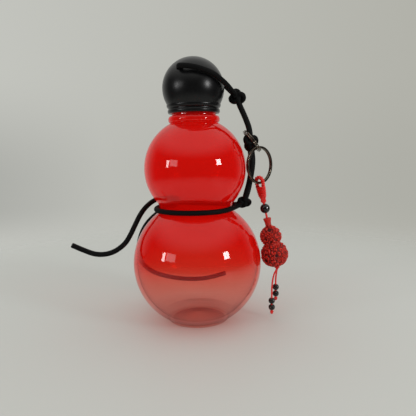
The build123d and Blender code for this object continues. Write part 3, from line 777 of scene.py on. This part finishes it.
# Body, length in millimetres, far end, stiffness, lay, and the knots that go with it
CORD_FACTS = {
    "cap_cord": ("cap_carrier", 124, "object", "medium", "taut", ["knot_upper"]),
    "tether_upper_front": ("bottle", 31, "object", "medium", "hanging", ["knot_middle"]),
    "tether_upper_back": ("bottle", 31, "object", "medium", "hanging", []),
    "tether_lower_front": ("bottle", 40, "object", "medium", "hanging", ["knot_waist"]),
    "tether_lower_back": ("bottle", 40, "object", "medium", "hanging", []),
    "waist_cord_front": ("bottle", 110, "object", "medium", "taut", []),
    "waist_cord_back": ("bottle", 62, "object", "medium", "taut", []),
    "tail_left": ("bottle", 97, "bare", "stiff", "loose", ["knot_back"]),
    "tail_back": ("bottle", 136, "bare", "stiff", "loose", []),
}


class CORD_OT_black(bpy.types.Operator):
    """The black braided cord: through the ball, down to the waist, round it, and two tails"""
    bl_idname = "bottle.black_cord"
    bl_label = "Black cord"

    def execute(self, context):
        material = bpy.data.materials["braided_black_polyester"]
        radius = settings().cord_radius / MM
        for name, (body, length, far_end, stiffness, lay, knots) in CORD_FACTS.items():
            line = even(spline_line(CORD_ROUTES[name]), 0.45)
            piece = braided("cord_" + name, line, radius, material)
            if name.startswith("tether_upper"):
                # These strands stretch between the bottle's knot and the knot that rises
                # with the cap
                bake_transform(piece)
                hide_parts(name)
            else:
                settle(piece, body, "black_cord", name)
        return {"FINISHED"}


class CORD_OT_knots(bpy.types.Operator):
    """The four pulled knots of the black cord"""
    bl_idname = "bottle.knots"
    bl_label = "Knots"

    def execute(self, context):
        material = braided_black_polyester()
        radius = settings().cord_radius / MM
        for name, body, facing, turn, size in (
            ("knot_upper", "cap_carrier", (0.1, -1, 0.1), 100, (1.95, 1.75, 1.8)),
            ("knot_middle", "bottle", (0.15, -1, 0.1), 20, (1.75, 2.0, 1.8)),
            ("knot_waist", "bottle", (0.1, -1, 0.15), -10, (1.7, 1.05, 1.5)),
            ("knot_back", "bottle", (-0.5, 0.8, 0.3), 35, (1.9, 1.7, 1.6)),
        ):
            line, normal = trefoil(KNOTS[name], facing, turn, size)
            piece = braided(name + "_turns", line, radius, material, closed=True, normal=normal)
            settle(piece, body, "black_cord", name)
        return {"FINISHED"}


# The glass body

def arc(centre, radius, start, end, count):
    """Points of an arc in the (r, z) plane, by angles from the r axis."""
    angle = np.linspace(start, end, count)
    return np.stack([
        centre[0] + radius * np.cos(angle), centre[1] + radius * np.sin(angle)
    ], axis=1)


def straight(start, end, count):
    """Points of a straight stretch in the (r, z) plane."""
    return np.linspace(start, end, count)


def turned(profile, columns):
    """Grid of points of a profile of (r, z) turned about the Z axis."""
    angle = full_turn(columns)
    r, z = profile[:, :1], profile[:, 1:]
    return np.stack([r * np.cos(angle), r * np.sin(angle), z + 0 * angle], axis=-1)


LOWER = (0.0, 40.8)
LOWER_RADIUS = 45.0
UPPER = (0.0, 107.0)
UPPER_RADIUS = 35.3
GROOVE_RADIUS = 5.5
GROOVE = (25.5981294 + GROOVE_RADIUS, 80.5888973)
WALL = 2.4
FOOT_RADIUS = 21.9
NECK_RADIUS = 16.3
BORE_RADIUS = 11.4
FINISH_RADIUS = 13.6
THREAD_LEAD = 5.4


def angle_of(centre, point):
    """Angle of a point of the (r, z) plane seen from a centre."""
    return math.atan2(point[1] - centre[1], point[0] - centre[0])


def bulb_profile(wall):
    """The two bulbs and the waist between them, wall millimetres inside the outer face:
    two arcs joined by the groove's arc, which touches both."""
    low_end = angle_of(LOWER, GROOVE)
    high_start = angle_of(UPPER, GROOVE)
    low = LOWER_RADIUS - wall
    high = UPPER_RADIUS - wall
    groove = GROOVE_RADIUS + wall
    foot = -math.acos((24.0 if wall else FOOT_RADIUS) / low)
    neck = BORE_RADIUS if wall else NECK_RADIUS
    return np.vstack([
        arc(LOWER, low, foot, low_end, 90),
        arc(GROOVE, groove, low_end + math.pi, high_start - math.pi + 2 * math.pi, 24)[1:],
        arc(UPPER, high, high_start, math.acos(neck / high), 70)[1:],
    ])


class GLASS_OT_body(bpy.types.Operator):
    """The blown glass body: outer face, carrying ring, threaded finish and inner face"""
    bl_idname = "bottle.glass"
    bl_label = "Glass body"

    def execute(self, context):
        clear = clear_soda_glass()
        lacquered = red_lacquered_glass()
        ring_middle = (RING_BOTTOM + RING_TOP) / 2
        rise = np.linspace(-1, 1, 22)
        carrying = np.stack([
            NECK_RADIUS + 1.4 * np.sqrt(1 - rise ** 2 + 1e-9), ring_middle + 2.3 * rise,
        ], axis=1)
        outer = np.vstack([
            straight((0.5, 3.98), (17.5, 0.25), 12),
            arc((18.3, 0.8), 0.8, math.radians(220), math.radians(268), 6),
            straight((18.6, 0.0), (20.6, 0.0), 3),
            arc((FOOT_RADIUS - 1.0, 1.0), 1.0, math.radians(-88), 0, 8),
            straight((FOOT_RADIUS, 1.2), (FOOT_RADIUS, 1.35), 2),
            bulb_profile(0.0),
            carrying[1:],
            straight((15.6, RING_TOP + 0.05), (15.15, RING_TOP + 0.3), 3),
            straight((15.1, RING_TOP + 0.6), (15.1, NECK_TOP), 6),
            straight((14.6, NECK_TOP + 0.5), (FINISH_RADIUS + 0.05, NECK_TOP + 1.45), 4),
            straight((FINISH_RADIUS, NECK_TOP + 1.7), (FINISH_RADIUS, MOUTH - 0.7), 44),
            arc((13.0, MOUTH - 0.6), 0.6, 0.15, math.radians(90), 6),
            arc((12.0, MOUTH - 0.6), 0.6, math.radians(90), math.radians(178), 6),
        ])
        inner = np.vstack([
            straight((0.5, 8.2), (12.0, 7.56), 8),
            straight((13.5, 7.38), (23.0, 5.85), 8),
            bulb_profile(WALL),
            straight((BORE_RADIUS, 138.4), (BORE_RADIUS, MOUTH - 1.2), 16),
        ])
        columns = 192
        shell = turned(outer, columns)
        # The raised thread: one turn that climbs its lead and fades in and out at its ends
        angle = full_turn(columns)[None]
        foot = MOUTH - 1.8 - THREAD_LEAD
        middle = foot + THREAD_LEAD * angle / (2 * np.pi)
        off = np.abs(outer[:, 1:] - middle)
        ridge = 1.3 * np.clip((0.95 - off) / 0.45, 0, 1)
        fade = np.clip(np.minimum(angle, 2 * np.pi - angle) / 0.35, 0, 1)
        on_finish = (np.abs(outer[:, 0] - FINISH_RADIUS) < 0.01)[:, None]
        lift = 1 + on_finish * ridge * fade / FINISH_RADIUS
        shell[..., :2] *= lift[..., None]
        outside = skin("glass_outside", shell, lacquered, cap=False)
        inside = skin("glass_inside", turned(inner[::-1], columns), clear, cap=False)
        piece = joined("glass_body", [outside, inside])
        self.weld(piece)
        settle(piece, "bottle", "red_glass", "bottle_glass")
        return {"FINISHED"}

    def weld(self, piece):
        """Close the mouth's lip and the middles of the foot and the floor."""
        mesh = bmesh.new()
        mesh.from_mesh(piece.data)
        loops = [edge for edge in mesh.edges if edge.is_boundary]
        mouth = [edge for edge in loops if edge.verts[0].co.z > 0.1]
        floor = [edge for edge in loops if edge.verts[0].co.z < 0.1]
        bmesh.ops.bridge_loops(mesh, edges=mouth)
        bmesh.ops.holes_fill(mesh, edges=floor)
        bmesh.ops.recalc_face_normals(mesh, faces=mesh.faces)
        mesh.to_mesh(piece.data)
        mesh.free()


# The cap

class CAP_OT_cap(bpy.types.Operator):
    """The black cap: the ball, the threaded ring with two bands, and the soft seal"""
    bl_idname = "bottle.cap"
    bl_label = "Cap"

    def execute(self, context):
        plastic = moulded_black_plastic()
        for node, material in (
            ("cap_ball", plastic), ("cap_collar", plastic), ("cap_seal", silicone()),
        ):
            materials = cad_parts[node].data.materials
            materials.clear()
            materials.append(material)
        return {"FINISHED"}


# The key rings

RING_STRIP = 0.75
RING_GAP = 0.42


def split_ring(name, centre, down, axis, radius, width, start, material):
    """Split ring: a flat strip with rounded edges goes round twice, side by side, and steps
    from one turn to the other over a short stretch. start is the angle of the step, from
    the downward direction."""
    share = np.linspace(0, 4 * np.pi * 0.985, 400)
    ease = np.clip((share - 2 * np.pi + 0.32) / 0.64, 0, 1)
    level = (RING_STRIP + RING_GAP) * (ease * ease * (3 - 2 * ease) - 0.5)
    angle = share + start
    side = np.cross(axis, down)
    out = np.cos(angle)[:, None] * down + np.sin(angle)[:, None] * side
    line = np.array(centre) + out * (radius - width / 2) + level[:, None] * axis
    corner = full_turn(20)
    # A rounded oblong: the power of cosine and sine sets how square its corners are
    square = 0.42
    across_out = np.sign(np.cos(corner)) * np.abs(np.cos(corner)) ** square * width / 2
    across_up = np.sign(np.sin(corner)) * np.abs(np.sin(corner)) ** square * RING_STRIP / 2
    grid = line[:, None] + across_out[None, :, None] * out[:, None] + across_up[None, :, None] * axis
    return skin(name, grid[:, ::-1], material)


class RING_OT_rings(bpy.types.Operator):
    """The small ring through the middle knot and the key ring that hangs from it"""
    bl_idname = "bottle.rings"
    bl_label = "Key rings"

    def execute(self, context):
        material = nickel_plated_steel()
        down = np.array([math.sin(SMALL_RING_TILT), 0, -math.cos(SMALL_RING_TILT)])
        axis = np.array([math.cos(SMALL_RING_TILT), 0, math.sin(SMALL_RING_TILT)])
        small = split_ring(
            "small_split_ring", SMALL_RING_CENTRE, down, axis, 9.0, 1.4, 2.4, material
        )
        settle(small, "small_ring", "ring_metal", "ring_small")
        axis = np.array([-math.sin(KEY_RING_TURN), math.cos(KEY_RING_TURN), 0])
        key = split_ring(
            "key_split_ring", KEY_RING_CENTRE, np.array([0, 0, -1.0]), axis,
            13.0, 1.6, 1.05, material,
        )
        settle(key, "key_ring", "ring_metal", "ring_key")
        return {"FINISHED"}


# The red charm

def charm_frame():
    """The charm's pivot, its line downwards, and the direction in which its loop spreads."""
    down = np.array([math.sin(CHARM_LEAN), 0, -math.cos(CHARM_LEAN)])
    axis = np.array([-math.sin(KEY_RING_TURN), math.cos(KEY_RING_TURN), 0])
    side = unit(axis - down * (axis @ down))
    return np.array(CHARM_PIVOT), down, side


def on_charm(side_reach, distance):
    """A point beside the charm's line and down it."""
    pivot, down, side = charm_frame()
    return pivot + side * side_reach + down * distance


class CHARM_OT_cord(bpy.types.Operator):
    """The red cord: a loop over the key ring, its arms bound together by a finer cord, and
    the stem below it"""
    bl_idname = "bottle.charm_cord"
    bl_label = "Charm cord"

    def execute(self, context):
        material = waxed_red_cord()
        pivot, down, side = charm_frame()
        arm = [(0.9, 13.6), (1.5, 10.0), (1.9, 6.0), (2.4, 3.2), (2.9, 0.6), (2.8, -3.0)]
        places = arm + [(0.0, -4.0)] + [(-out, along) for out, along in reversed(arm)]
        loop = even(spline_line([on_charm(*place) for place in places]), 0.12)
        normal = np.cross(side, down)
        sides = across(loop, normal=normal)
        length = span(loop)
        reach = np.linspace(0, length, len(loop))
        angle = full_turn(24)[None]
        # Two smooth plies show below the winding
        ply_lay, pitch, bare = 5.5, 1.45, 8.5
        plies = []
        for phase in (0, np.pi):
            out = bearing(2 * np.pi * reach / ply_lay + phase, *sides)
            thinned = [direction[::4] for direction in sides]
            plies.append(tube("ply", (loop + 0.5 * out)[::4], thinned, 0.72, material, columns=14))
        # The winding: a fine cord over the eye, then round both arms together, pulled tight
        wound = (reach > bare) & (reach < length - bare)
        out = bearing(2 * np.pi * reach[wound] / pitch, sides[0][wound], sides[1][wound])
        winding = coiled("winding", loop[wound] + 0.85 * out, out, 0.56, material)
        turns, top, pitch = 6.0, 2.9, 1.2
        turn = np.linspace(0, 2 * np.pi * turns, 600)
        place = top + pitch * turn / (2 * np.pi)
        wide = np.interp(place, (2.9, 4.5, 7.0, 10.1), (3.5, 3.3, 3.0, 2.3))[:, None]
        deep = 1.5
        coil = pivot + down * place[:, None] + bearing(turn, side * wide, normal * deep)
        out = unit(bearing(turn, side / wide, normal / deep))
        binding = coiled("binding", coil, out, 0.66, material)
        # What the binding lies on fills the gap between the arms
        filled = even(np.stack([on_charm(0, 3.0), on_charm(0, 13.2)]), 0.3)
        wide = np.linspace(2.6, 1.0, len(filled))[:, None]
        ring = wide * deep / np.sqrt((deep * np.cos(angle)) ** 2 + (wide * np.sin(angle)) ** 2)
        filling = tube("filling", filled, (side[None], normal[None]), ring, material)
        stem = even(np.array([on_charm(0, 10.8), on_charm(0, 61.0)]), 0.5)
        twists = 16
        twist = np.linspace(0, 1, len(stem))[:, None] * 2 * np.pi * twists
        ring = 0.66 + 0.08 * np.abs(np.cos(angle + twist))
        core = tube("stem", stem, across(stem, normal=normal), ring, material)
        neck = even(np.array([on_charm(0, 9.8), on_charm(0, 14.4)]), 0.3)
        taper = 1.75 - 0.5 * np.linspace(0, 1, len(neck))[:, None] ** 2
        ring = taper * (1 - 0.06 * np.abs(np.cos(3 * angle)))
        collar = tube("collar", neck, across(neck, normal=normal), ring, material)
        knot = small_knot("knot", on_charm(0, 61.1), -normal, 25, 0.6, 12, material)
        parts = [core, collar, winding, binding, filling, knot] + plies
        piece = joined("charm_loop_and_stem", parts)
        settle(piece, "charm", "red_cord", "charm_cord")
        return {"FINISHED"}


class CHARM_OT_strings(bpy.types.Operator):
    """The two red strings under the gourd, each ending in a small knot"""
    bl_idname = "bottle.strings"
    bl_label = "Strings"

    def execute(self, context):
        material = bpy.data.materials["waxed_red_cord"]
        step, lay = 0.25, 2.4
        angle = full_turn(16)[None]
        for name, body in (("string_left", "left_string"), ("string_right", "right_string")):
            line = even(spline_line(STRING_ROUTES[name]), step)
            twist = np.linspace(0, 1, len(line))[:, None] * len(line) * step / lay * 2 * np.pi
            ring = 0.52 + 0.08 * np.abs(np.cos(angle + twist))
            strand = tube(name + "_strand", line, across(line), ring, material)
            end = STRING_ROUTES[name][-1]
            knot = small_knot(name + "_knot", end, (0.2, -1, 0.2), 20, 0.42, 10, material)
            piece = joined(name + "_red", [strand, knot])
            settle(piece, body, "red_cord", name)
        return {"FINISHED"}


def drilled_bead(name, centre, direction, radius, bore, material):
    """Round bead with a drilled and eased hole: half a circle turned about the hole, joined
    by the hole's wall, with a small rounded edge between them."""
    start = math.asin(min((bore + 0.25) / radius, 1))
    angle = np.linspace(start, math.pi - start, 40)
    ball = np.stack([radius * np.sin(angle), radius * np.cos(angle)], axis=1)
    end = ball[0, 1]
    wall = np.array([
        [bore + 0.06, -end + 0.02], [bore, -end + 0.3], [bore, end - 0.3], [bore + 0.06, end - 0.02],
    ])
    profile = np.vstack([ball, wall])
    around = full_turn(56)[None]
    direction = unit(np.array(direction, float))
    helper = np.array([0, 1.0, 0])
    side = unit(np.cross(helper, direction))
    second = np.cross(direction, side)
    r = profile[:, :1, None]
    outward = np.cos(around)[..., None] * side + np.sin(around)[..., None] * second
    grid = np.array(centre) + r * outward + profile[:, 1][:, None, None] * direction
    return skin(name, grid[:, ::-1], material, loop_rows=True)


class CHARM_OT_beads(bpy.types.Operator):
    """The large bead above the gourd and the four small ones on the strings"""
    bl_idname = "bottle.beads"
    bl_label = "Beads"

    def execute(self, context):
        down = charm_frame()[1]
        pitted = polished_black_bead("carved_black_bead", 0.6)
        large = drilled_bead("large_bead", on_charm(0, 18.3), down, 3.4, 1.05, pitted)
        settle(large, "bead", "black_bead", "charm_bead")
        polished = polished_black_bead("polished_black_bead", 0.08)
        for name, centre in STRING_BEADS.items():
            piece = drilled_bead(name + "_round", centre, (0, 0, 1), 2.3, 0.9, polished)
            body = "_".join(name.split("_")[1:]) + "_bead"
            settle(piece, body, "black_bead", name)
        return {"FINISHED"}


class CHARM_OT_gourd(bpy.types.Operator):
    """The gourd charm, carved all over with scrolls and leaves"""
    bl_idname = "bottle.gourd"
    bl_label = "Gourd charm"

    def execute(self, context):
        down, side = charm_frame()[1:]
        lower, lower_radius = (0.0, 26.2), 9.5
        upper, upper_radius = (0.0, 13.2), 7.4
        groove_radius, neck_radius, bore, tail = 1.2, 2.35, 1.05, 34.3
        groove = self.groove(lower[1], lower_radius, upper[1], upper_radius, groove_radius)
        neck = math.acos(neck_radius / upper_radius)
        rows_upper = arc(upper, upper_radius, -neck, angle_of(upper, groove), 90)
        turn_in = angle_of(upper, groove) - math.pi
        turn_out = angle_of(lower, groove) + math.pi
        rows_groove = arc(groove, groove_radius, turn_in + 2 * math.pi, turn_out, 12)[1:-1]
        foot = math.asin((tail - lower[1]) / lower_radius)
        rows_lower = arc(lower, lower_radius, angle_of(lower, groove), foot, 120)
        profile = np.vstack([
            [[bore, tail - 0.4], [bore, 0.3], [bore + 0.2, 0.0]],
            [[2.45, 0.0], [2.75, 0.25], [2.72, 0.9], [2.4, 2.2]],
            straight((neck_radius, 3.0), rows_upper[0], 10)[:-1],
            rows_upper, rows_groove, rows_lower,
            [[4.0, tail], [bore + 0.2, tail]],
        ])
        columns = 300
        around = full_turn(columns)[None]
        r, along = profile[:, :1], profile[:, 1:]
        carved = np.r_[
            np.zeros(7), np.linspace(0.3, 0.8, 9), np.ones(len(rows_upper)), 0.6 * np.ones(len(rows_groove)),
            np.ones(len(rows_lower) - 4), np.linspace(1, 0.1, 4), np.zeros(2),
        ][:, None]
        height = self.relief(r, along, around) * carved
        slope = np.gradient(profile, axis=0)
        outward = unit(np.stack([slope[:, 1], -slope[:, 0]], axis=1))
        depth = (height - 0.8) * carved * 1.1
        r_out = r + depth * outward[:, :1]
        along_out = along + depth * outward[:, 1:]
        second = np.cross(down, side)
        grid = (
            on_charm(0, 25.2)
            + r_out[..., None] * (np.cos(around)[..., None] * side + np.sin(around)[..., None] * second)
            + along_out[..., None] * down
        )
        piece = skin("carved_gourd", grid, carved_lacquer(), loop_rows=True)
        # The carving's height, which the material also turns into painted shade: dark in the recesses,
        # bright on the crowns
        layer = piece.data.attributes.new("carving", "FLOAT", "POINT")
        layer.data.foreach_set("value", np.clip(height + (1 - carved) * 0.6, 0, 1).ravel())
        settle(piece, "gourd", "carved_red", "charm_gourd")
        return {"FINISHED"}

    def groove(self, low, low_radius, high, high_radius, radius):
        """Centre of the circle that touches both balls from outside, at the waist."""
        low_reach, high_reach = low_radius + radius, high_radius + radius
        apart = high - low
        rise = (apart ** 2 + low_reach ** 2 - high_reach ** 2) / (2 * apart)
        return math.sqrt(low_reach ** 2 - rise ** 2), low + rise

    def relief(self, r, along, around):
        """Height of the carving from 0 to 1: leaves of uneven size round scattered centres,
        each with ripples about its middle, a cut where two leaves meet, and a deep pit in
        the middle of about one in five. The centres are spread by the golden angle, so
        that the pattern has no seam."""
        count = 150
        number = np.arange(count)
        chance = np.random.default_rng(7)
        place_along = 3.5 + 30.5 * (number + chance.uniform(0, 1, count)) / count
        place_angle = number * math.pi * (3 - math.sqrt(5)) + chance.uniform(-0.3, 0.3, count)
        place_r = np.interp(place_along, along[9:-2, 0], r[9:-2, 0])
        leaf_size = chance.uniform(0.7, 1.35, count)
        pitted = (chance.uniform(0, 1, count) < 0.2).astype(float)
        nearest = np.full((len(r), around.shape[1]), 99.0)
        second = nearest.copy()
        scroll = np.zeros(nearest.shape)
        pit = np.zeros(nearest.shape)
        for a, t, s, n, size, hole in zip(
            place_along, place_angle, place_r, number, leaf_size, pitted
        ):
            sideways = 2 * s * np.sin((around - t) / 2)
            apart = np.sqrt(sideways ** 2 * (r / s) + (along - a) ** 2) / size
            closer = apart < nearest
            second = np.where(closer, nearest, np.minimum(second, apart))
            coil = np.cos(apart * 3.6 + np.arctan2(along - a, np.sin(around - t) * s) + n)
            scroll = np.where(closer, coil, scroll)
            pit = np.where(closer, hole, pit)
            nearest = np.where(closer, apart, nearest)
        border = np.clip((second - nearest) / 0.4, 0, 1)
        hollow = pit * np.clip(1.9 - nearest / 0.75, 0, 1)
        return np.clip(border * (0.62 + 0.38 * scroll) * (1 - 0.95 * hollow), 0, 1)


class BOTTLE_PT_panel(bpy.types.Panel):
    """Lists the pieces in the order in which they are made"""
    bl_label = "Gourd bottle"
    bl_idname = "BOTTLE_PT_panel"
    bl_space_type = "VIEW_3D"
    bl_region_type = "UI"
    bl_category = "Bottle"

    def draw(self, context):
        column = self.layout.column()
        own = context.scene.gourd_bottle
        for name in GourdBottleSettings.__annotations__:
            column.prop(own, name)
        for operator in OPERATORS:
            column.operator(operator.bl_idname)


OPERATORS = (
    STAGE_OT_studio, CORD_OT_knots, CORD_OT_black, GLASS_OT_body, CAP_OT_cap, RING_OT_rings,
    CHARM_OT_cord, CHARM_OT_beads, CHARM_OT_strings, CHARM_OT_gourd,
)
CLASSES = (GourdBottleSettings, *OPERATORS, BOTTLE_PT_panel)


def register():
    for entry in CLASSES:
        bpy.utils.register_class(entry)
    bpy.types.Scene.gourd_bottle = bpy.props.PointerProperty(type=GourdBottleSettings)


def unregister():
    del bpy.types.Scene.gourd_bottle
    for entry in reversed(CLASSES):
        bpy.utils.unregister_class(entry)


def main():
    register()
    for operator in OPERATORS:
        group, name = operator.bl_idname.split(".")
        getattr(getattr(bpy.ops, group), name)()


if __name__ == "__main__":
    main()
